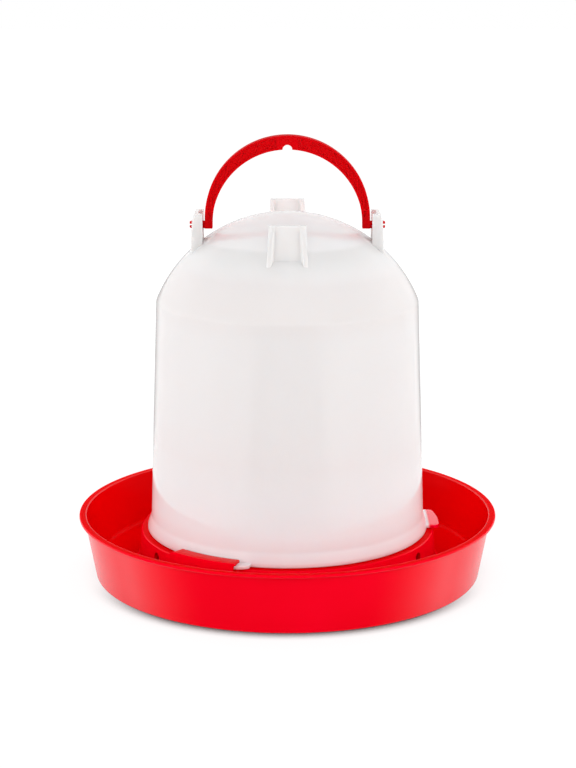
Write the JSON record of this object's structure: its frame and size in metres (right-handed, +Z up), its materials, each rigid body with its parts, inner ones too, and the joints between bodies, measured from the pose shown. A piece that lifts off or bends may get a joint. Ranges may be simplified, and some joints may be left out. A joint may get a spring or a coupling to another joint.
{
  "type": "poultry feeder and drinker",
  "caption": "Round poultry feeder and drinker: tapered tray with a raised ring, milky domed hopper locked by bayonet hooks, and an arched carrying handle on split snap pins.",
  "frame": {"origin": "centre of the tray's base ring on the ground", "axes": "+Z up along the hopper's axis, -Y towards the front, +X to the right; the handle stands upright in the XZ plane"},
  "size_m": [0.3, 0.3, 0.3144],
  "materials": {
    "polypropylene_red": "satin red injection moulding",
    "polypropylene_natural": "milky translucent natural polypropylene",
    "polypropylene_red_handle": "satin red injection moulding"
  },
  "bodies": {
    "tray": {"tray": "polypropylene_red"},
    "hopper": {"hopper": "polypropylene_natural"},
    "handle": {"handle": "polypropylene_red_handle"}
  },
  "joints": [
    {"name": "hopper_turn", "type": "hinge", "parent": "tray", "child": "hopper", "pos_m": [0, 0, 0.0324], "axis": [0, 0, 1], "range_deg": [0, 20]},
    {"name": "handle_swing", "type": "hinge", "parent": "hopper", "child": "handle", "pos_m": [0, 0, 0.2518], "axis": [1, 0, 0], "range_deg": [-76, 76]}
  ]
}
